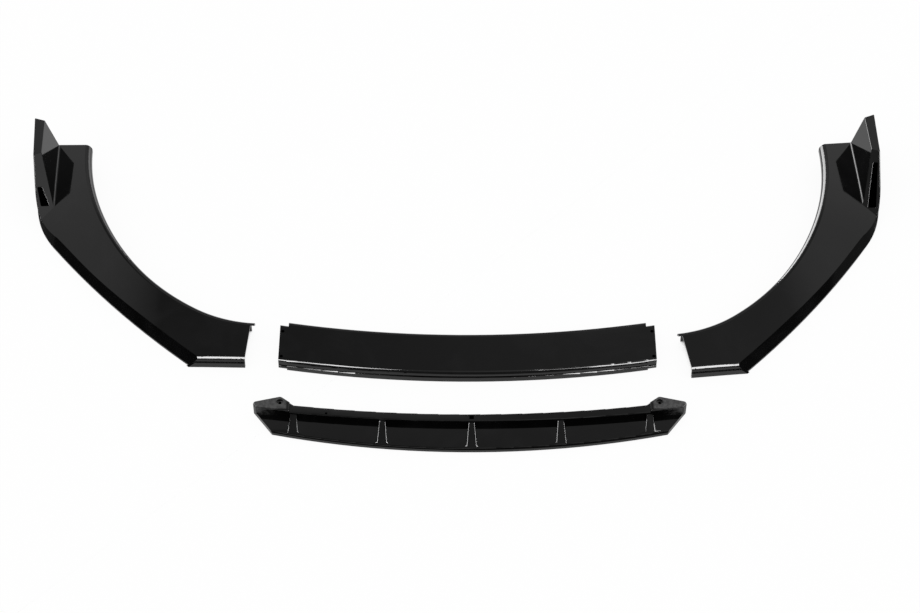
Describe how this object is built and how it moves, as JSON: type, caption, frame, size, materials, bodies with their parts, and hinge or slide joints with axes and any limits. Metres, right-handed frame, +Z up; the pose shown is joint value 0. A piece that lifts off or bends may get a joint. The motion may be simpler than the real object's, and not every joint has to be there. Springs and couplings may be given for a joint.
{
  "type": "front splitter lip",
  "caption": "Front splitter lip for a car: hollow gloss side blades with upright end fins, a bowed centre blade with screw tabs and a ribbed lower lip, laid out ready to be joined.",
  "frame": {"origin": "middle of the laid-out kit's bounding box, on the floor", "axes": "+X to the right as seen from the front of the car, +Y to the back of the car, +Z up from the floor"},
  "size_m": [1.882, 0.8823, 0.1041],
  "materials": {
    "black_gloss": "moulded gloss black"
  },
  "bodies": {
    "root": {"left_side_blade": "black_gloss", "right_side_blade": "black_gloss", "centre_blade": "black_gloss", "lower_lip": "black_gloss"}
  },
  "joints": []
}
